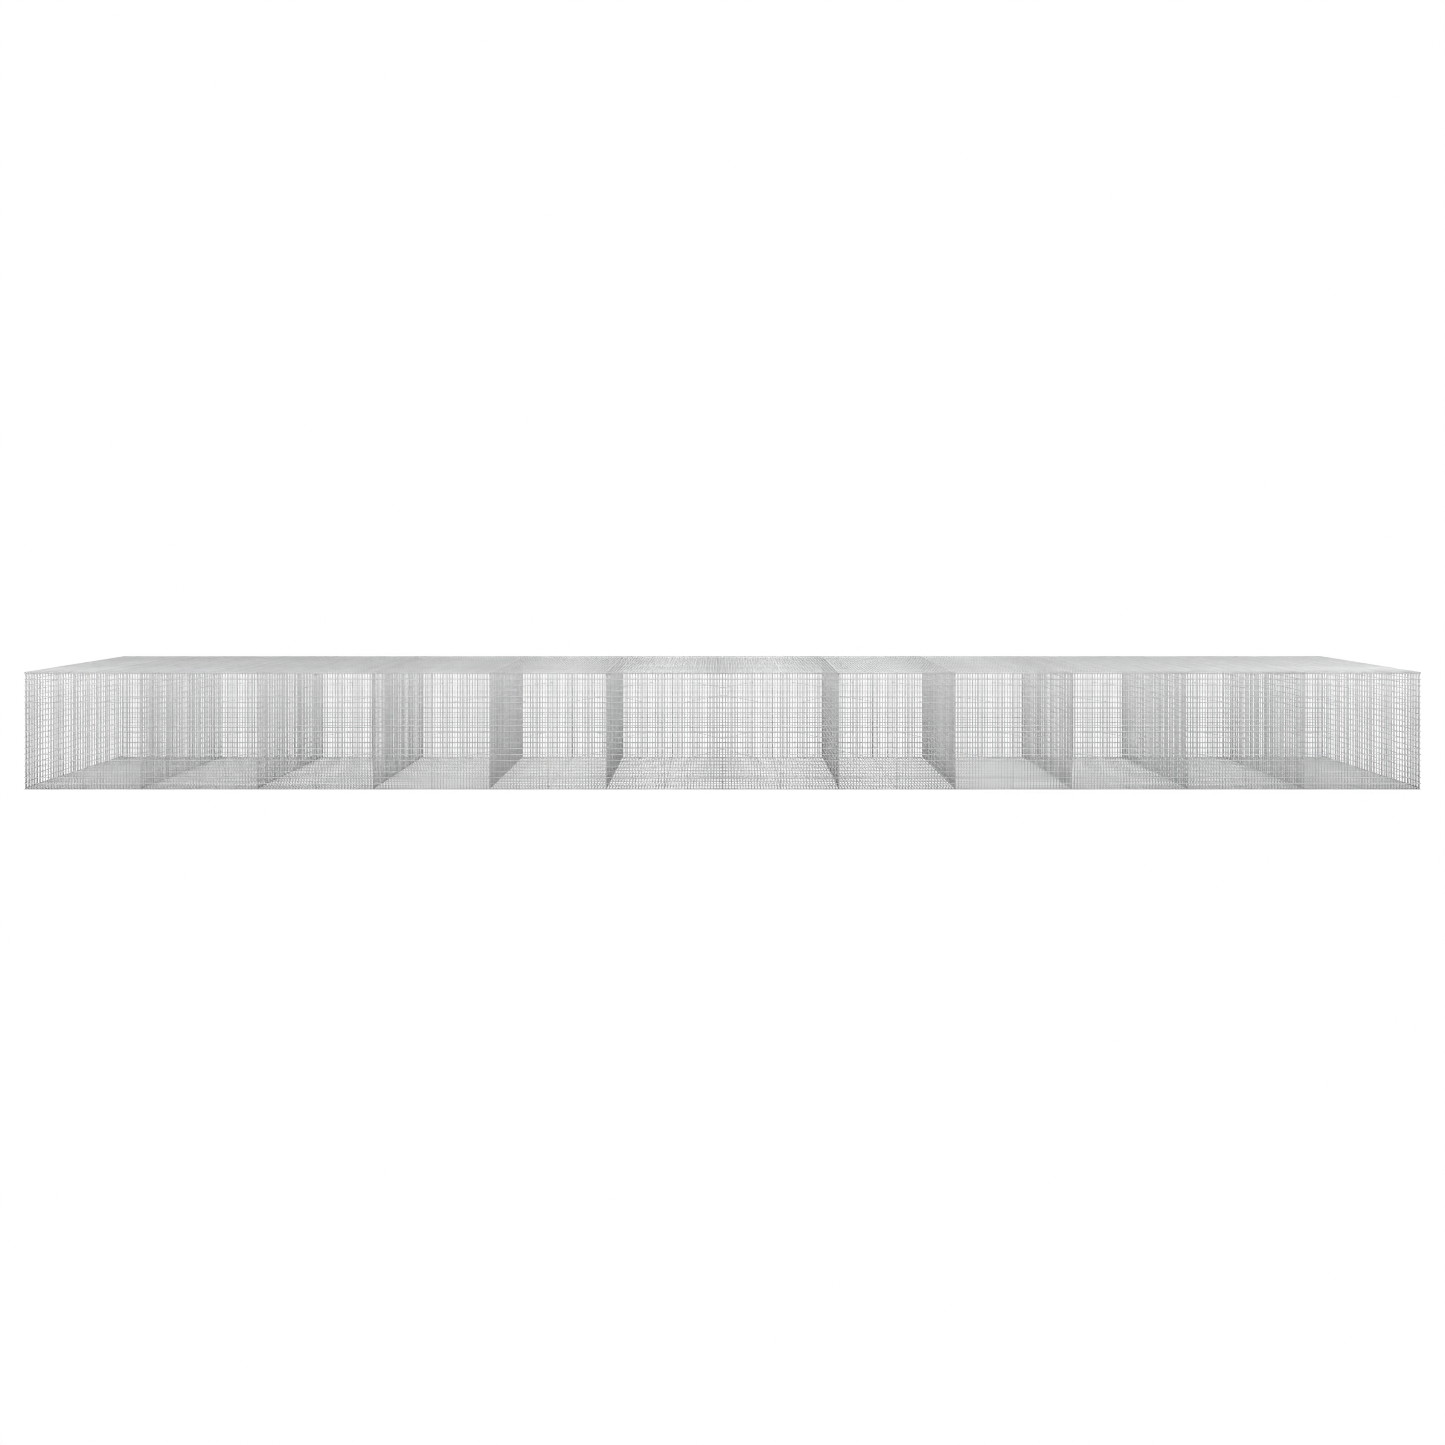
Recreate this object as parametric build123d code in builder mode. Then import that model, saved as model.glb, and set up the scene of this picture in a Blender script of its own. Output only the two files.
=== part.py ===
from build123d import *
import os

# Gabion wall of welded wire mesh, empty, lids closed: a straight row of cube cells.
# Frame: +X along the wall, -Y the front, +Z up, origin at the middle of the underside. Millimetres.
# Each lid swings up and back, and hangs behind the wall. Its back wire turns in rings that go round the top
# wire of the back panel, and it stands far enough behind that panel for the lid to hang plumb.

# ---- driving dimensions ----
cells = 12              # cells in the row
cell = 1000.0           # diaphragm to diaphragm, along the wall
depth = 1010.0          # front of the mesh to back of the hinge rings
height = 1015.0         # underside of the mesh to top of the hinge rings
wire = 6.0              # wire diameter, the width of one bar
sheet = 2 * wire        # a welded sheet is two layers of wire thick
bars_across = 10        # openings across a sheet: every fourth wire of the real mesh, both ways
bars_up = 5             # openings up a sheet, twice as tall as wide, as in the real mesh
lid_gap = 5.0           # between two lids
lid_hang = 5.25         # between the back panels and a lid that hangs behind them
lid_rest = 0.3          # between a closed lid and the top wire of the front panel, which it rests on
lid_clear = 5.5         # between a closed lid and the cross and back panels under it
ring_wire = 3.0         # hinge ring, its own thickness
ring_play = 0.5         # hinge ring, clear of the wires inside it
ring_places = (-359.4, -111.5, 111.5, 359.4)  # rings along a lid, from its middle, each in an opening
brace_wire = 4.0        # corner brace, its own diameter
brace_bar = 3           # corner braces end on the third bar from the corner, 300 mm along each sheet
brace_heights = (264.2, 753.1)  # middles of the corner braces, each just above a level wire of the real mesh

length = cells * cell
hinge_y = depth / 2 - ring_wire - ring_play - wire / 2      # hinge line: middle of a lid's back wire
hinge_z = height - ring_wire - ring_play - wire / 2
front = -depth / 2                           # outer face of the front panels
back = hinge_y - wire / 2 - lid_hang         # outer face of the back panels
inner_front = front + sheet
inner_back = back - sheet
lid_top = hinge_z + wire / 2
lid_bottom = lid_top - sheet
front_top = lid_bottom - lid_rest            # top of the front panels
upright_top = lid_bottom - lid_clear         # top of the back, cross and end panels
lid_width = cell - lid_gap

cross_width = inner_back - inner_front
cross_height = upright_top - sheet           # the cross and end panels stand on the base
middle = (inner_back + inner_front) / 2      # middle of the mesh box, front to back

# Groups of cells whose sheets do not touch each other, so that each group is one set of panels.
groups = ((1, 3, 5), (2, 4, 6), (7, 9, 11), (8, 10, 12))


def cell_x(number):
    """Middle of a cell along the wall, cells counted from 1 at the left."""
    return -length / 2 + (number - 0.5) * cell


def names(group):
    return "_".join(str(number) for number in group)


os.makedirs("parts", exist_ok=True)

# ---- profiles of the welded sheets, flat ----
# A frame of bars with square-cornered openings; the front, back, base and lid sheets have a doubled wire
# at their middle, the cross sheets have not.


def openings(width, tall):
    pitch_w = (width - wire) / bars_across
    pitch_h = (tall - wire) / bars_up
    with GridLocations(pitch_w, pitch_h, bars_across, bars_up):
        Rectangle(pitch_w - wire, pitch_h - wire, mode=Mode.SUBTRACT)


with BuildSketch() as base_profile:
    Rectangle(cell, cross_width)
    openings(cell, cross_width)
    Rectangle(2 * wire, cross_width)

with BuildSketch() as front_profile:
    Rectangle(cell, front_top)
    openings(cell, front_top)
    Rectangle(2 * wire, front_top)

with BuildSketch() as back_profile:
    Rectangle(cell, upright_top)
    openings(cell, upright_top)
    Rectangle(2 * wire, upright_top)

with BuildSketch() as cross_profile:         # diaphragms and ends
    Rectangle(cross_width, cross_height)
    openings(cross_width, cross_height)

# A lid reaches from the front to the middle of its back wire. That wire is round, and the bars end on it.
lid_depth = hinge_y - front
with BuildSketch() as lid_profile:
    Rectangle(lid_width, lid_depth)
    with Locations((0, wire / 4)):
        openings(lid_width, lid_depth + wire / 2)
    with Locations((0, lid_depth / 2)):
        with GridLocations((lid_width - wire) / bars_across, 0, bars_across, 1):
            Rectangle((lid_width - wire) / bars_across - wire, 4 * wire, mode=Mode.SUBTRACT)
    Rectangle(2 * wire, lid_depth)

# ---- base panels, on the ground between the front and back panels ----
for group in groups:
    with BuildPart() as base_panels:
        with BuildSketch(Plane.XY):
            with Locations([(cell_x(number), middle) for number in group]):
                add(base_profile.sketch)
        extrude(amount=sheet)
    base_panels.part.label = "base_panels_" + names(group)
    export_step(base_panels.part, "parts/" + base_panels.part.label + ".step")

# ---- front panels ----
for group in groups:
    with BuildPart() as front_panels:
        with BuildSketch(Plane.XZ.offset(-inner_front)):
            with Locations([(cell_x(number), front_top / 2) for number in group]):
                add(front_profile.sketch)
        extrude(amount=sheet)
    front_panels.part.label = "front_panels_" + names(group)
    export_step(front_panels.part, "parts/" + front_panels.part.label + ".step")

# ---- back panels ----
for group in groups:
    with BuildPart() as back_panels:
        with BuildSketch(Plane.XZ.offset(-back)):
            with Locations([(cell_x(number), upright_top / 2) for number in group]):
                add(back_profile.sketch)
        extrude(amount=sheet)
    back_panels.part.label = "back_panels_" + names(group)
    export_step(back_panels.part, "parts/" + back_panels.part.label + ".step")

# ---- diaphragms, one at each joint between two cells, on the base ----
for number in range(1, cells):
    with BuildPart() as diaphragm:
        with BuildSketch(Plane.YZ.offset(-length / 2 + number * cell - sheet / 2)):
            with Locations((middle, sheet + cross_height / 2)):
                add(cross_profile.sketch)
        extrude(amount=sheet)
    diaphragm.part.label = "diaphragm_%02d" % number
    export_step(diaphragm.part, "parts/" + diaphragm.part.label + ".step")

# ---- end panels, on the base ----
with BuildPart() as end_panel_left:
    with BuildSketch(Plane.YZ.offset(-length / 2)):
        with Locations((middle, sheet + cross_height / 2)):
            add(cross_profile.sketch)
    extrude(amount=sheet)
end_panel_left.part.label = "end_panel_left"
export_step(end_panel_left.part, "parts/end_panel_left.step")

with BuildPart() as end_panel_right:
    with BuildSketch(Plane.YZ.offset(length / 2 - sheet)):
        with Locations((middle, sheet + cross_height / 2)):
            add(cross_profile.sketch)
    extrude(amount=sheet)
end_panel_right.part.label = "end_panel_right"
export_step(end_panel_right.part, "parts/end_panel_right.step")

# ---- lids, closed, each with its round back wire ----
for number in range(1, cells + 1):
    with BuildPart() as lid:
        with BuildSketch(Plane.XY.offset(lid_bottom)):
            with Locations((cell_x(number), front + lid_depth / 2)):
                add(lid_profile.sketch)
        extrude(amount=sheet)
        with BuildSketch(Plane.YZ.offset(cell_x(number) - lid_width / 2)):
            with Locations((hinge_y, hinge_z)):
                Circle(wire / 2)
        extrude(amount=lid_width)
    lid.part.label = "lid_%02d" % number
    export_step(lid.part, "parts/" + lid.part.label + ".step")

# ---- hinge rings, round a lid's back wire and under the top bar of the back panel ----
ring_front = inner_back - ring_play
ring_back = hinge_y + wire / 2 + ring_play
ring_low = upright_top - wire
ring_high = lid_top + ring_play
with BuildPart() as hinge_rings:
    for number in range(1, cells + 1):
        for place in ring_places:
            with BuildSketch(Plane.YZ.offset(cell_x(number) + place - ring_wire / 2)):
                with Locations(((ring_front + ring_back) / 2, (ring_low + ring_high) / 2)):
                    Rectangle(ring_back - ring_front + 2 * ring_wire, ring_high - ring_low + 2 * ring_wire)
                    Rectangle(ring_back - ring_front, ring_high - ring_low, mode=Mode.SUBTRACT)
    extrude(amount=ring_wire)
hinge_rings.part.label = "hinge_rings"
export_step(hinge_rings.part, "parts/hinge_rings.step")

# ---- corner braces: straight wires across each upright corner of a cell, between two bars ----
half = brace_wire / 2 ** 0.5                                    # half a brace's end, where it meets a sheet
along_x = wire / 2 + brace_bar * (cell - wire) / bars_across    # middle of its bar, from the cell's edge
along_y = wire / 2 + brace_bar * (cross_width - wire) / bars_across


def inner_walls(number):
    """Inside faces of a cell's two cross sheets."""
    left = -length / 2 + (number - 1) * cell + (sheet if number == 1 else sheet / 2)
    right = -length / 2 + number * cell - (sheet if number == cells else sheet / 2)
    return left, right


for first in range(1, cells + 1, 3):
    with BuildPart() as corner_braces:
        for level in brace_heights:
            with BuildSketch(Plane.XY.offset(level - brace_wire / 2)):
                for number in range(first, first + 3):
                    left, right = inner_walls(number)
                    for wall, way_x in ((left, 1), (right, -1)):
                        bar_x = cell_x(number) + way_x * (along_x - cell / 2)
                        for face, way_y in ((inner_front, 1), (inner_back, -1)):
                            bar_y = face + way_y * along_y
                            with BuildLine():
                                Polyline(
                                    (bar_x - way_x * half, face),
                                    (bar_x + way_x * half, face),
                                    (wall, bar_y + way_y * half),
                                    (wall, bar_y - way_y * half),
                                    close=True,
                                )
                            make_face()
            extrude(amount=brace_wire)
    corner_braces.part.label = "corner_braces_%d_to_%d" % (first, first + 2)
    export_step(corner_braces.part, "parts/" + corner_braces.part.label + ".step")

print("hinge line y %.2f z %.2f, back %.2f, middle %.3f, tops %.1f %.1f, lid %.1f to %.1f" % (
    hinge_y, hinge_z, back, middle, front_top, upright_top, lid_bottom, lid_top))
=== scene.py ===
import math

import bpy
import numpy as np
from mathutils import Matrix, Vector

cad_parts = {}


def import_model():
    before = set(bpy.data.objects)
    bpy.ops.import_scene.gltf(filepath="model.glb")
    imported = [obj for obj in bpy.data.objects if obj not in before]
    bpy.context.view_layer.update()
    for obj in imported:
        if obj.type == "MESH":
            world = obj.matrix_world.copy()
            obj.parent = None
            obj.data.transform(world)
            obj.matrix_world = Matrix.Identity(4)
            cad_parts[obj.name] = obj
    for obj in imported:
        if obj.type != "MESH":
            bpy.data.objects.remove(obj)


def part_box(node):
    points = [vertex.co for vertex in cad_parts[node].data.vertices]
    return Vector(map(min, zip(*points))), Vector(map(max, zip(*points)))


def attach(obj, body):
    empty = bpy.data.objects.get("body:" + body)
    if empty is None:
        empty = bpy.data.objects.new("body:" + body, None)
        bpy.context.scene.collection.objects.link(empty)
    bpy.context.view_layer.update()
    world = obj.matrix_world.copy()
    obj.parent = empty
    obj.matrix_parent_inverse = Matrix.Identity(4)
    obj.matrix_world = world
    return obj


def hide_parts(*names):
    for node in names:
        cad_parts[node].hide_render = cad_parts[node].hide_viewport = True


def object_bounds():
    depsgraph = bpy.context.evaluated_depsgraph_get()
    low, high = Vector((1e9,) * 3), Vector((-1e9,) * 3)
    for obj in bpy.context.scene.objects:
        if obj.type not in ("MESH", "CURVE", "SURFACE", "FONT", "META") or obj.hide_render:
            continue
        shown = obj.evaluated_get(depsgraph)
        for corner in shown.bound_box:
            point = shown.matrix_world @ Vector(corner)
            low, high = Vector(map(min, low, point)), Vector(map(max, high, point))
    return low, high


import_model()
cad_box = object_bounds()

# =====================================================================================================
# Gabion wall: every wire of the welded mesh, its welds, the clips of the seams, the hinge rings of the lids
# and the corner braces, each round the node that it stands for. Metres, +X along the wall, -Y the front.
# =====================================================================================================

# ---- sizes read from the frame ----
low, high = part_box("end_panel_left")
SHEET = high.x - low.x                    # a sheet: two layers of wire
W = SHEET / 2                             # wire diameter
R = W / 2
LAP = 0.88 * W                            # from one layer's middle to the other's: the wires are welded into each other
CELLS = 12
ACROSS = 40                               # wire pitches across a sheet
UP = 20                                   # wire pitches up or along a sheet

wall_low, wall_high = cad_box
CELL = (wall_high.x - wall_low.x) / CELLS
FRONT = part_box("front_panels_1_3_5")[0].y
FRONT_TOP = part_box("front_panels_1_3_5")[1].z
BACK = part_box("back_panels_1_3_5")[1].y
BACK_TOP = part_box("back_panels_1_3_5")[1].z
INNER_FRONT, INNER_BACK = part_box("base_panels_1_3_5")[0].y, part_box("base_panels_1_3_5")[1].y
CROSS_LOW, CROSS_TOP = low.z, high.z
GROUPS = ((1, 3, 5), (2, 4, 6), (7, 9, 11), (8, 10, 12))


def cell_x(number):
    return wall_low.x + (number - 0.5) * CELL


def names(group):
    return "_".join(str(n) for n in group)


# =====================================================================================================
# Mesh making: tubes, welds and bent wires are gathered in one list per piece and made into one mesh.
# =====================================================================================================


class Wires:
    """Gathers wires and welds of one piece. tone is a number from 0 to 1 for each wire, for the finish."""

    def __init__(self, seed):
        self.verts, self.faces, self.smooth, self.tones = [], [], [], []
        self.count = 0
        self.rng = np.random.default_rng(seed)

    def _add(self, verts, faces, smooth, tone):
        self.verts.append(verts)
        self.faces += [tuple(int(i) + self.count for i in f) for f in faces]
        self.smooth += smooth
        self.tones.append(np.full(len(verts), tone))
        self.count += len(verts)

    def straight(self, a, b, r, sides=10):
        """A straight round wire from a to b, cut square."""
        a, b = np.array(a, float), np.array(b, float)
        d = b - a
        n = d / np.linalg.norm(d)
        side = np.array((0.0, 0.0, 1.0)) if abs(n[2]) < 0.9 else np.array((0.0, 1.0, 0.0))
        u = np.cross(n, side)
        u /= np.linalg.norm(u)
        v = np.cross(n, u)
        t = (np.arange(sides) + 0.5) * 2 * math.pi / sides
        ring = np.outer(np.cos(t), u) + np.outer(np.sin(t), v)
        rings = [a + ring * r, b + ring * r]
        faces, smooth = [], []
        k = sides
        for i in range(k):
            j = (i + 1) % k
            faces.append((i, j, k + j, k + i))
            smooth.append(True)
        faces.append(tuple(reversed(range(k))))
        faces.append(tuple(range(k, 2 * k)))
        smooth += [False, False]
        self._add(np.vstack(rings), faces, smooth, self.rng.random())

    def bent(self, path, r, sides=8):
        """A round wire along a path of points that turns smoothly."""
        p = np.array(path, float)
        n = len(p)
        tangent = np.gradient(p, axis=0)
        tangent /= np.linalg.norm(tangent, axis=1)[:, None]
        side = np.array((0.0, 0.0, 1.0)) if abs(tangent[0][2]) < 0.9 else np.array((0.0, 1.0, 0.0))
        u = np.cross(tangent[0], side)
        u /= np.linalg.norm(u)
        t = np.arange(sides) * 2 * math.pi / sides
        verts = []
        for i in range(n):
            u = u - tangent[i] * np.dot(u, tangent[i])
            u /= np.linalg.norm(u)
            v = np.cross(tangent[i], u)
            verts.append(p[i] + r * (np.outer(np.cos(t), u) + np.outer(np.sin(t), v)))
        faces, smooth = [], []
        for i in range(n - 1):
            for a in range(sides):
                b = (a + 1) % sides
                faces.append((i * sides + a, i * sides + b, (i + 1) * sides + b, (i + 1) * sides + a))
                smooth.append(True)
        faces.append(tuple(reversed(range(sides))))
        faces.append(tuple(range((n - 1) * sides, n * sides)))
        smooth += [False, False]
        self._add(np.vstack(verts), faces, smooth, self.rng.random())

    def welds(self, points, axis):
        """The metal squeezed out at each crossing: a flat eight-faced bead in the plane square to axis."""
        a, h = 0.40 * W, 0.24 * W
        others = [i for i in range(3) if i != axis]
        bead = np.zeros((6, 3))
        for row, (s, t) in enumerate(((1, 1), (-1, 1), (-1, -1), (1, -1))):
            bead[row, others[0]], bead[row, others[1]] = s * a, t * a
        bead[4, axis], bead[5, axis] = h, -h
        faces = []
        for i in range(4):
            j = (i + 1) % 4
            faces.append((i, j, 4))
            faces.append((j, i, 5))
        if axis == 1:
            faces = [tuple(reversed(f)) for f in faces]
        for point in points:
            grow = 0.85 + 0.3 * self.rng.random()
            self._add(bead * grow + np.array(point), faces, [True] * 8, 0.5)

    def object(self, name, material, body, nodes):
        mesh = bpy.data.meshes.new(name)
        mesh.from_pydata(np.vstack(self.verts).tolist(), [], self.faces)
        mesh.polygons.foreach_set("use_smooth", np.array(self.smooth, bool))
        tone = mesh.attributes.new("tone", "FLOAT", "POINT")
        tone.data.foreach_set("value", np.concatenate(self.tones).astype(np.float32))
        mesh.materials.append(material)
        mesh.update()
        piece = bpy.data.objects.new(name, mesh)
        bpy.context.scene.collection.objects.link(piece)
        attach(piece, body)
        if nodes:
            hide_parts(*nodes)
        return piece


def places(a, b, pitches, doubled=False):
    """Middles of the wires between a and b, edge wires included, with the middle one doubled on request."""
    at = [a + R + k * (b - a - W) / pitches for k in range(pitches + 1)]
    if doubled:
        half = pitches // 2
        at[half:half + 1] = [at[half] - R, at[half] + R]
    return at


def sheet(wires, u_range, v_range, axes, fine_at, coarse_at, doubled, hinge_at=None, inset=(0.0, 0.0)):
    """One welded sheet. axes = (u, v, n): the fine-pitched wires run along v and stand side by side along u.
    fine_at and coarse_at are where the two layers' middles lie along n. With hinge_at, the last wire of the coarse
    layer is a hinge wire at that height, and the fine wires end on it. inset moves the outermost fine wires in, so
    that the coarse wires stand out past them."""
    u, v, n = axes
    fine = places(u_range[0], u_range[1], ACROSS, doubled)
    fine[0] += inset[0]
    fine[-1] -= inset[1]
    coarse = places(v_range[0], v_range[1], UP)
    cut = 0.0004
    fine_end = v_range[1] - cut if hinge_at is None else v_range[1] - W + 0.0006

    def point(pu, pv, pn):
        p = [0.0, 0.0, 0.0]
        p[u], p[v], p[n] = pu, pv, pn
        return p

    for pu in fine:
        wires.straight(point(pu, v_range[0] + cut, fine_at), point(pu, fine_end, fine_at), R)
    heights = [coarse_at] * len(coarse)
    if hinge_at is not None:
        heights[-1] = hinge_at
    for pv, at in zip(coarse, heights):
        wires.straight(point(u_range[0] + cut, pv, at), point(u_range[1] - cut, pv, at), R)
    middle = (fine_at + coarse_at) / 2
    crossings = coarse if hinge_at is None else coarse[:-1]
    wires.welds([point(pu, pv, middle) for pu in fine for pv in crossings], n)
    if hinge_at is not None:
        wires.welds([point(pu, coarse[-1] - R, hinge_at) for pu in fine], v)


# =====================================================================================================
# Finish: hot-dip galvanised wire. Dull zinc with a fine spangle, cloudy grey patches and small runs.
# =====================================================================================================


def galvanised(name, light, dark, rough_low, rough_high, metallic, grain=1.0):
    material = bpy.data.materials.new(name)
    material.use_nodes = True
    tree = material.node_tree
    tree.nodes.clear()

    def node(kind, **values):
        made = tree.nodes.new(kind)
        for key, value in values.items():
            setattr(made, key, value)
        return made

    def join(a, out, b, into):
        tree.links.new(a.outputs[out], b.inputs[into])

    out = node("ShaderNodeOutputMaterial")
    shader = node("ShaderNodeBsdfPrincipled")
    join(shader, "BSDF", out, "Surface")
    shader.inputs["Metallic"].default_value = metallic
    where = node("ShaderNodeTexCoord")

    # spangle: small crystals of zinc, each a little lighter or darker
    spangle = node("ShaderNodeTexVoronoi", feature="F1")
    spangle.inputs["Scale"].default_value = 420.0 * grain
    join(where, "Object", spangle, "Vector")
    crystal = node("ShaderNodeSeparateColor")
    join(spangle, "Color", crystal, "Color")

    # cloudy patches where the zinc has dulled, tens of millimetres long
    cloud = node("ShaderNodeTexNoise")
    cloud.inputs["Scale"].default_value = 14.0
    cloud.inputs["Detail"].default_value = 5.0
    cloud.inputs["Roughness"].default_value = 0.62
    join(where, "Object", cloud, "Vector")

    # wire to wire, from the coil that it was drawn from
    tone = node("ShaderNodeAttribute", attribute_type="GEOMETRY", attribute_name="tone")

    sum_1 = node("ShaderNodeMath", operation="MULTIPLY_ADD")
    join(crystal, "Red", sum_1, 0)
    sum_1.inputs[1].default_value = 0.30
    sum_1.inputs[2].default_value = 0.0
    sum_2 = node("ShaderNodeMath", operation="MULTIPLY_ADD")
    join(cloud, "Fac", sum_2, 0)
    sum_2.inputs[1].default_value = 0.75
    join(sum_1, "Value", sum_2, 2)
    sum_3 = node("ShaderNodeMath", operation="MULTIPLY_ADD")
    join(tone, "Fac", sum_3, 0)
    sum_3.inputs[1].default_value = 0.22
    join(sum_2, "Value", sum_3, 2)

    colour = node("ShaderNodeValToRGB")
    colour.color_ramp.elements[0].position = 0.30
    colour.color_ramp.elements[0].color = (*dark, 1.0)
    colour.color_ramp.elements[1].position = 0.95
    colour.color_ramp.elements[1].color = (*light, 1.0)
    join(sum_3, "Value", colour, "Fac")
    join(colour, "Color", shader, "Base Color")

    rough = node("ShaderNodeMapRange")
    rough.inputs["To Min"].default_value = rough_high
    rough.inputs["To Max"].default_value = rough_low
    join(sum_3, "Value", rough, "Value")
    join(rough, "Result", shader, "Roughness")

    # surface: the grain of the dip, and slow runs along the wire
    grain_noise = node("ShaderNodeTexNoise")
    grain_noise.inputs["Scale"].default_value = 900.0 * grain
    grain_noise.inputs["Detail"].default_value = 3.0
    join(where, "Object", grain_noise, "Vector")
    runs = node("ShaderNodeTexNoise")
    runs.inputs["Scale"].default_value = 120.0
    runs.inputs["Detail"].default_value = 2.0
    join(where, "Object", runs, "Vector")
    heights = node("ShaderNodeMath", operation="MULTIPLY_ADD")
    join(runs, "Fac", heights, 0)
    heights.inputs[1].default_value = 2.5
    join(grain_noise, "Fac", heights, 2)
    bump = node("ShaderNodeBump")
    bump.inputs["Strength"].default_value = 0.35
    bump.inputs["Distance"].default_value = 0.00025
    join(heights, "Value", bump, "Height")
    join(bump, "Normal", shader, "Normal")
    return material


MESH = galvanised("galvanised_mesh_wire", (0.80, 0.803, 0.807), (0.60, 0.603, 0.608), 0.38, 0.58, 0.18)
BRACE = galvanised("galvanised_brace_wire", (0.78, 0.783, 0.787), (0.58, 0.583, 0.588), 0.36, 0.56, 0.20)
RING = galvanised("galvanised_ring_wire", (0.84, 0.843, 0.847), (0.66, 0.663, 0.668), 0.28, 0.46, 0.35, 1.4)

# =====================================================================================================
# The welded sheets
# =====================================================================================================

def room(number):
    """The wall's outermost uprights stand in a little, so that the clips of its corners go round them."""
    return (END_ROOM if number == 1 else 0.0, END_ROOM if number == CELLS else 0.0)


END_ROOM = 0.0032

# front panels: level wires outside, uprights inside
for seed, group in enumerate(GROUPS):
    wires = Wires(100 + seed)
    for number in group:
        x = cell_x(number)
        sheet(wires, (x - CELL / 2, x + CELL / 2), (0.0, FRONT_TOP), (0, 2, 1), FRONT + R + LAP, FRONT + R, True,
              inset=room(number))
    wires.object("front_mesh_" + names(group), MESH, "cage", ["front_panels_" + names(group)])

# back panels
for seed, group in enumerate(GROUPS):
    wires = Wires(200 + seed)
    for number in group:
        x = cell_x(number)
        sheet(wires, (x - CELL / 2, x + CELL / 2), (0.0, BACK_TOP), (0, 2, 1), BACK - R - LAP, BACK - R, True,
              inset=room(number))
    wires.object("back_mesh_" + names(group), MESH, "cage", ["back_panels_" + names(group)])

# base panels: long wires underneath, cross wires on top
for seed, group in enumerate(GROUPS):
    wires = Wires(300 + seed)
    for number in group:
        x = cell_x(number)
        sheet(wires, (x - CELL / 2, x + CELL / 2), (INNER_FRONT, INNER_BACK), (0, 1, 2), R + LAP, R, True)
    wires.object("base_mesh_" + names(group), MESH, "cage", ["base_panels_" + names(group)])

# diaphragms
for number in range(1, CELLS):
    wires = Wires(400 + number)
    x = wall_low.x + number * CELL
    sheet(wires, (INNER_FRONT, INNER_BACK), (CROSS_LOW, CROSS_TOP), (1, 2, 0), x + LAP / 2, x - LAP / 2, False)
    node = "diaphragm_%02d" % number
    wires.object(node + "_mesh", MESH, "cage", [node])

# end panels: level wires outside
for side, node in ((1, "end_panel_left"), (-1, "end_panel_right")):
    wires = Wires(420 + side)
    x = wall_low.x if side == 1 else wall_high.x
    sheet(wires, (INNER_FRONT, INNER_BACK), (CROSS_LOW, CROSS_TOP), (1, 2, 0), x + side * (R + LAP), x + side * R, False)
    wires.object(node + "_mesh", MESH, "cage", [node])

# lids: cross wires on top, long wires underneath; the last long wire is the hinge wire, level with the cross wires
LID_LOW, LID_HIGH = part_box("lid_01")
HINGE_Y, HINGE_Z = LID_HIGH.y - R, LID_HIGH.z - R
for number in range(1, CELLS + 1):
    wires = Wires(500 + number)
    lid_low, lid_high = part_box("lid_%02d" % number)
    x = cell_x(number)
    sheet(wires, (lid_low.x, lid_high.x), (lid_low.y, lid_high.y), (0, 1, 2), lid_high.z - R, lid_high.z - R - LAP,
          True, HINGE_Z)
    wires.object("lid_%02d_mesh" % number, MESH, "lid_%02d_body" % number, ["lid_%02d" % number])

# =====================================================================================================
# Hinge rings, seam clips and corner braces
# =====================================================================================================

RING_R = 0.0015
BRACE_R = 0.002


def loop(centre, u, v, a, b, along, pitch, r, wires, overlap=0.07, straight=0.0, segments=26, full=1.0):
    """A clip of wire closed round a seam, its ends side by side: an oval, a long oval with straight sides, or with
    full under 1 an oval with full corners."""
    centre, u, v, along = (np.array(q, float) for q in (centre, u, v, along))
    path = []
    for k in range(segments + 1):
        turn = -overlap + k * (1 + 2 * overlap) / segments
        t = turn * 2 * math.pi
        c, s = math.cos(t), math.sin(t)
        c, s = math.copysign(abs(c) ** full, c), math.copysign(abs(s) ** full, s)
        shift = straight / 2 * max(-1.0, min(1.0, 3.0 * c))
        path.append(centre + u * (a * c + shift) + v * (b * s) + along * (pitch * (turn - 0.5)))
    wires.bent(path, r, 7)


def hooked(post_a, post_b, side, way_y):
    """Points of a corner brace: past each upright on the side away from the corner, round it, and back to the wire."""
    turn_r = R + BRACE_R + 0.0002
    way = post_b - post_a
    way /= np.linalg.norm(way)
    out = np.array((-way[1], way[0], 0.0))                      # square to the brace, in plan
    middle_of_cell = np.array((-side, way_y, 0.0))
    if np.dot(out, middle_of_cell) < 0:
        out = -out                                              # towards the middle of the cell

    def end(post, away):
        """Straight wire meets the upright's cell side, then turns round it by two thirds of a circle."""
        points = []
        for k in range(11):
            angle = math.radians(k * 23.0)
            points.append(post + out * (turn_r * math.cos(angle)) + away * (turn_r * math.sin(angle))
                          + np.array((0.0, 0.0, 0.0032 * k / 10)))
        tail = points[-1] - points[-2]
        tail /= np.linalg.norm(tail)
        for k in (1, 2, 3):
            points.append(points[10] + tail * 0.0022 * k)
        return points

    a, b = end(post_a, -way), end(post_b, way)
    straight = [post_a + out * turn_r + way * (0.004 + (np.linalg.norm(post_b - post_a) - 0.008) * k / 6) for k in range(7)]
    return list(reversed(a)) + straight + b


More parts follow.
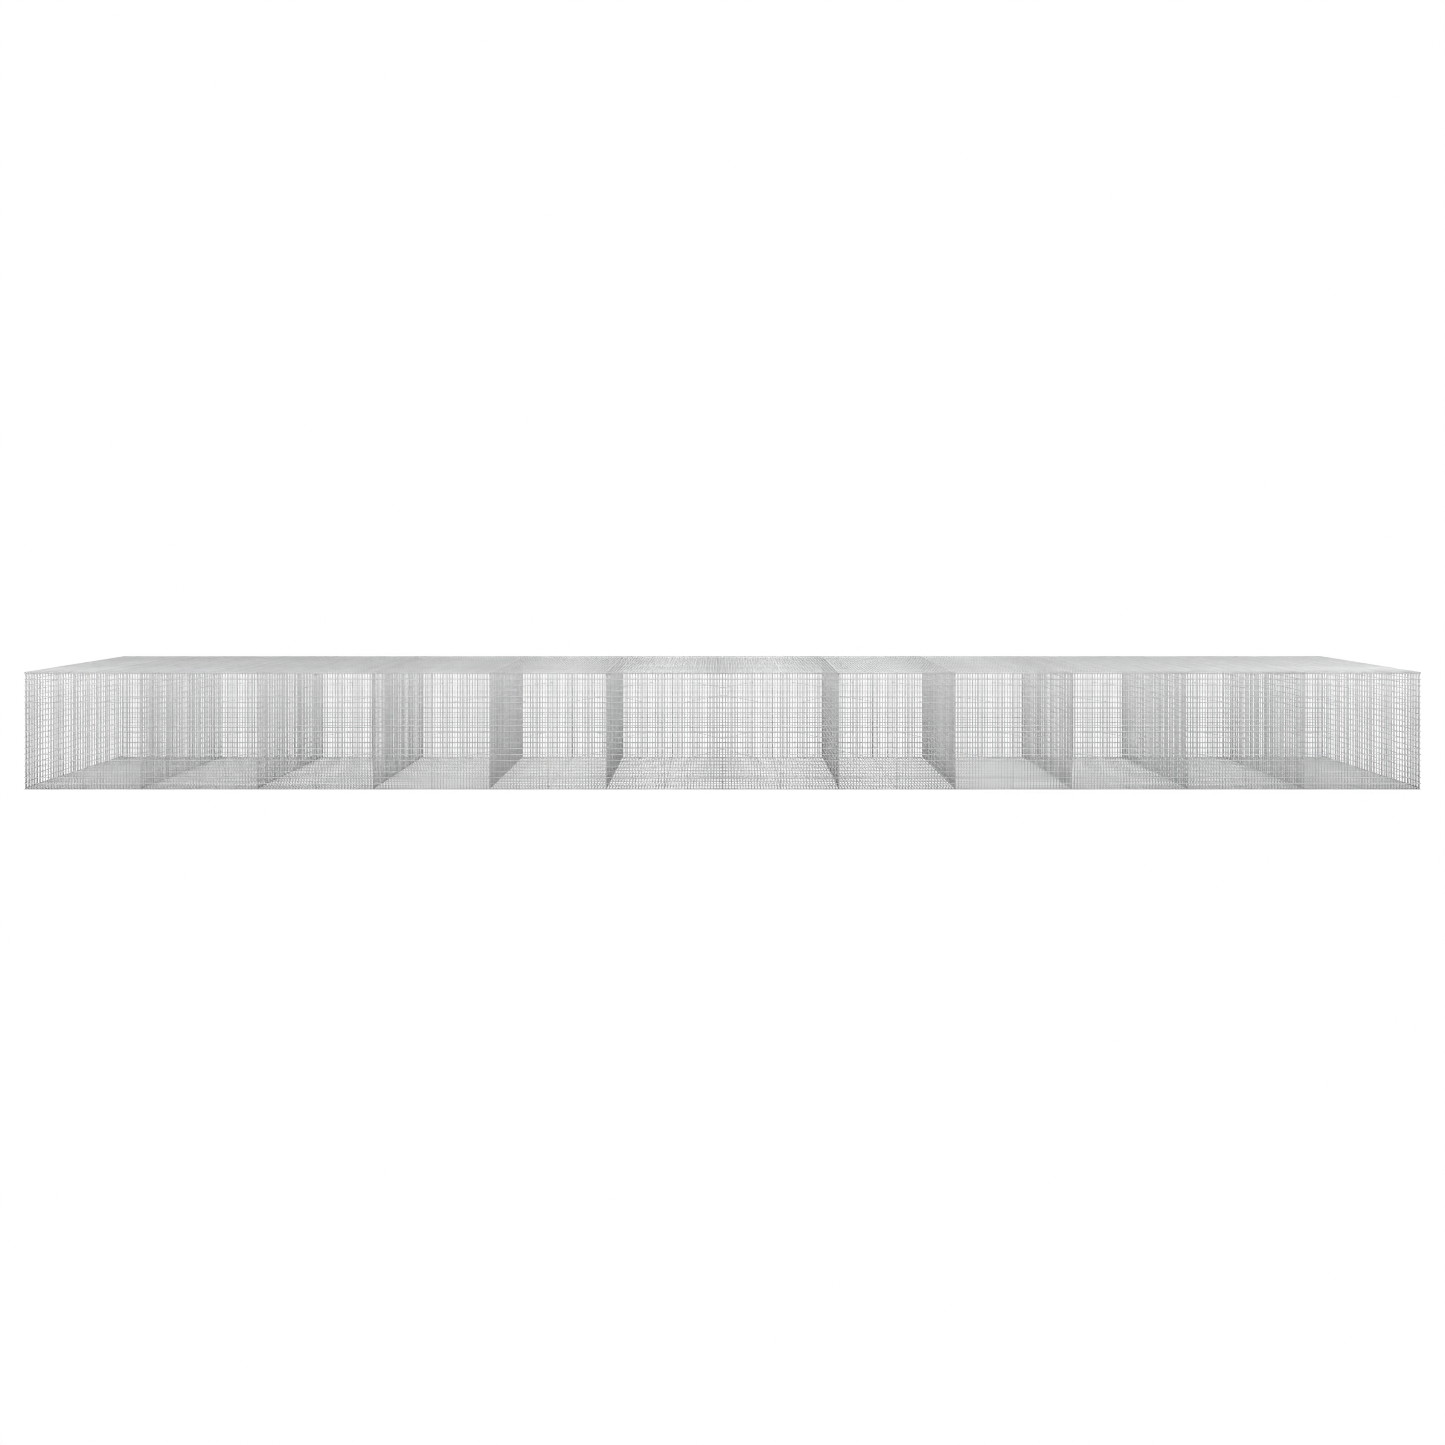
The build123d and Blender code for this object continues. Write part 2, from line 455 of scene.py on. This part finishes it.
ring_low, ring_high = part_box("hinge_rings")
top_wire = np.array((0.0, BACK - R, BACK_TOP - R))
hinge_wire = np.array((0.0, HINGE_Y, HINGE_Z))
way = hinge_wire - top_wire
reach = float(np.linalg.norm(way))
way /= reach
square = np.cross(way, (1.0, 0.0, 0.0))
wires = Wires(600)
for number in range(1, CELLS + 1):
    for place in (-0.3594, -0.1115, 0.1115, 0.3594):
        middle = (top_wire + hinge_wire) / 2 + np.array((cell_x(number) + place, 0.0, 0.0))
        loop(middle, way, square, 0.00485, 0.00485, (1, 0, 0), 0.0032, RING_R, wires, 0.06, reach, 34)
wires.object("hinge_ring_wires", RING, "cage", ["hinge_rings"])

# clips of the upright seams: round the edge wires of two panels and of the cross sheet between them
SLACK = 0.0004
wires = Wires(610)
level_pitch = (FRONT_TOP - W) / UP
for number in range(0, CELLS + 1):
    x = wall_low.x + number * CELL
    for face, way_y in ((FRONT, 1), (BACK, -1)):
        y_in = face + way_y * (R + LAP)                     # middle of the face's uprights
        if number in (0, CELLS):
            side = 1 if number == 0 else -1
            x_lo, x_hi = END_ROOM - RING_R, W + LAP + RING_R + SLACK
            centre_x, half_x = x + side * (x_lo + x_hi) / 2, (x_hi - x_lo) / 2
        else:
            centre_x, half_x = x, W + RING_R + SLACK
        y_lo = y_in - way_y * (R + RING_R)
        y_hi = face + way_y * (SHEET + W + RING_R + SLACK)
        for k in (2, 6, 10, 14, 18):
            z = R + (k + 0.5) * level_pitch
            loop((centre_x, (y_lo + y_hi) / 2, z), (1, 0, 0), (0, 1, 0), half_x, abs(y_hi - y_lo) / 2, (0, 0, 1), 0.0034,
                 RING_R, wires, full=0.6, segments=34)
wires.object("upright_seam_clips", RING, "cage", [])

# clips of the lower seams: round the lowest wire of a cross sheet and the edge wires of the two bases under it
wires = Wires(620)
fine_y = (INNER_BACK - INNER_FRONT - W) / ACROSS
z_lo, z_hi = LAP - RING_R, CROSS_LOW + W + RING_R + SLACK
for number in range(1, CELLS):
    x = wall_low.x + number * CELL
    for k in (6.5, 15.5, 24.5, 33.5):
        loop((x, INNER_FRONT + R + k * fine_y, (z_lo + z_hi) / 2), (1, 0, 0), (0, 0, 1), W + RING_R + SLACK, (z_hi - z_lo) / 2,
             (0, 1, 0), 0.0034, RING_R, wires, full=0.6, segments=34)
wires.object("lower_seam_clips", RING, "cage", [])

# corner braces: a straight wire between two uprights, each end turned round its upright
brace_pitch_x = (CELL - W) / ACROSS
for first in (1, 4, 7, 10):
    node = "corner_braces_%d_to_%d" % (first, first + 2)
    brace_low, brace_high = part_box(node)
    wires = Wires(700 + first)
    for z in (brace_low.z + BRACE_R, brace_high.z - BRACE_R):
        for number in range(first, first + 3):
            for side in (-1, 1):
                edge = cell_x(number) + side * CELL / 2
                if (number, side) == (1, -1) or (number, side) == (CELLS, 1):
                    wall_x = edge - side * (R + LAP)            # middle of an end panel's uprights
                elif side == -1:
                    wall_x = edge + LAP / 2                     # middle of a diaphragm's uprights
                else:
                    wall_x = edge + LAP / 2
                for face, way_y in ((FRONT, 1), (BACK, -1)):
                    face_y = face + way_y * (R + LAP)           # middle of the face's uprights
                    sheet_y = INNER_FRONT if way_y == 1 else INNER_BACK
                    post_a = np.array((edge - side * (R + 12 * brace_pitch_x), face_y, z))
                    post_b = np.array((wall_x, sheet_y + way_y * (R + 12 * fine_y), z))
                    wires.bent(hooked(post_a, post_b, side, way_y), BRACE_R, 8)
    wires.object(node + "_wires", BRACE, "cage", [node])

# =====================================================================================================
# Stage, light and camera
# =====================================================================================================


def world():
    made = bpy.data.worlds.new("studio")
    bpy.context.scene.world = made
    made.use_nodes = True
    tree = made.node_tree
    tree.nodes.clear()
    out = tree.nodes.new("ShaderNodeOutputWorld")
    seen = tree.nodes.new("ShaderNodeBackground")
    seen.inputs["Color"].default_value = (1, 1, 1, 1)
    seen.inputs["Strength"].default_value = 1.0
    lit = tree.nodes.new("ShaderNodeBackground")
    lit.inputs["Color"].default_value = (1, 1, 1, 1)
    lit.inputs["Strength"].default_value = 0.04
    path = tree.nodes.new("ShaderNodeLightPath")
    mix = tree.nodes.new("ShaderNodeMixShader")
    tree.links.new(path.outputs["Is Camera Ray"], mix.inputs["Fac"])
    tree.links.new(lit.outputs["Background"], mix.inputs[1])
    tree.links.new(seen.outputs["Background"], mix.inputs[2])
    tree.links.new(mix.outputs["Shader"], out.inputs["Surface"])


world()

floor_mesh = bpy.data.meshes.new("floor")
floor_mesh.from_pydata([(-400, -400, -0.002), (400, -400, -0.002), (400, 400, -0.002), (-400, 400, -0.002)], [], [(0, 1, 2, 3)])
floor = bpy.data.objects.new("floor", floor_mesh)
bpy.context.scene.collection.objects.link(floor)
paper = bpy.data.materials.new("white_paper")
paper.use_nodes = True
tree = paper.node_tree
tree.nodes.clear()
out = tree.nodes.new("ShaderNodeOutputMaterial")
glow = tree.nodes.new("ShaderNodeEmission")
glow.inputs["Color"].default_value = (1, 1, 1, 1)
glow.inputs["Strength"].default_value = 1.0
matt = tree.nodes.new("ShaderNodeBsdfDiffuse")
matt.inputs["Color"].default_value = (0.85, 0.85, 0.85, 1)
path = tree.nodes.new("ShaderNodeLightPath")
mix = tree.nodes.new("ShaderNodeMixShader")
tree.links.new(path.outputs["Is Camera Ray"], mix.inputs["Fac"])
tree.links.new(matt.outputs["BSDF"], mix.inputs[1])
tree.links.new(glow.outputs["Emission"], mix.inputs[2])
tree.links.new(mix.outputs["Shader"], out.inputs["Surface"])
floor_mesh.materials.append(paper)


def soft(name, azimuth, elevation, spread, strength):
    """A wide soft lamp far away. Azimuth 0 is in front of the wall, 90 at its right end, 180 behind it."""
    light = bpy.data.lights.new(name, "SUN")
    light.energy = strength
    light.angle = math.radians(spread)
    lamp = bpy.data.objects.new(name, light)
    a, e = math.radians(azimuth), math.radians(elevation)
    towards = Vector((math.sin(a) * math.cos(e), -math.cos(a) * math.cos(e), math.sin(e)))
    lamp.rotation_euler = towards.to_track_quat("Z", "Y").to_euler()
    bpy.context.scene.collection.objects.link(lamp)
    return lamp


soft("top", 0, 85, 40, 1.96)
soft("left_low", 270, 28, 34, 0.54)
soft("left_high", 270, 52, 36, 0.84)
soft("front", 0, 52, 36, 0.46)
soft("front_right", 45, 28, 34, 0.28)
soft("right", 90, 52, 36, 0.48)
soft("behind", 180, 32, 50, 0.68)

camera_data = bpy.data.cameras.new("camera")
camera = bpy.data.objects.new("camera", camera_data)
bpy.context.scene.collection.objects.link(camera)
camera.location = (0.0, -6.532, 1.958)
camera.rotation_euler = (math.radians(90), 0.0, 0.0)
camera_data.sensor_width = 36.0
camera_data.lens = 17.482
camera_data.shift_x = 0.0
camera_data.shift_y = -0.1113
camera_data.clip_start = 0.05
camera_data.clip_end = 2000.0
camera_data.dof.use_dof = False
bpy.context.scene.camera = camera
bpy.context.scene.cycles.filter_width = 1.0      # the wires are thinner than a pixel: a narrow filter keeps them crisp

view = bpy.context.scene.view_settings
view.view_transform = "Standard"
view.look = "None"
view.exposure = 0.0
view.gamma = 1.0
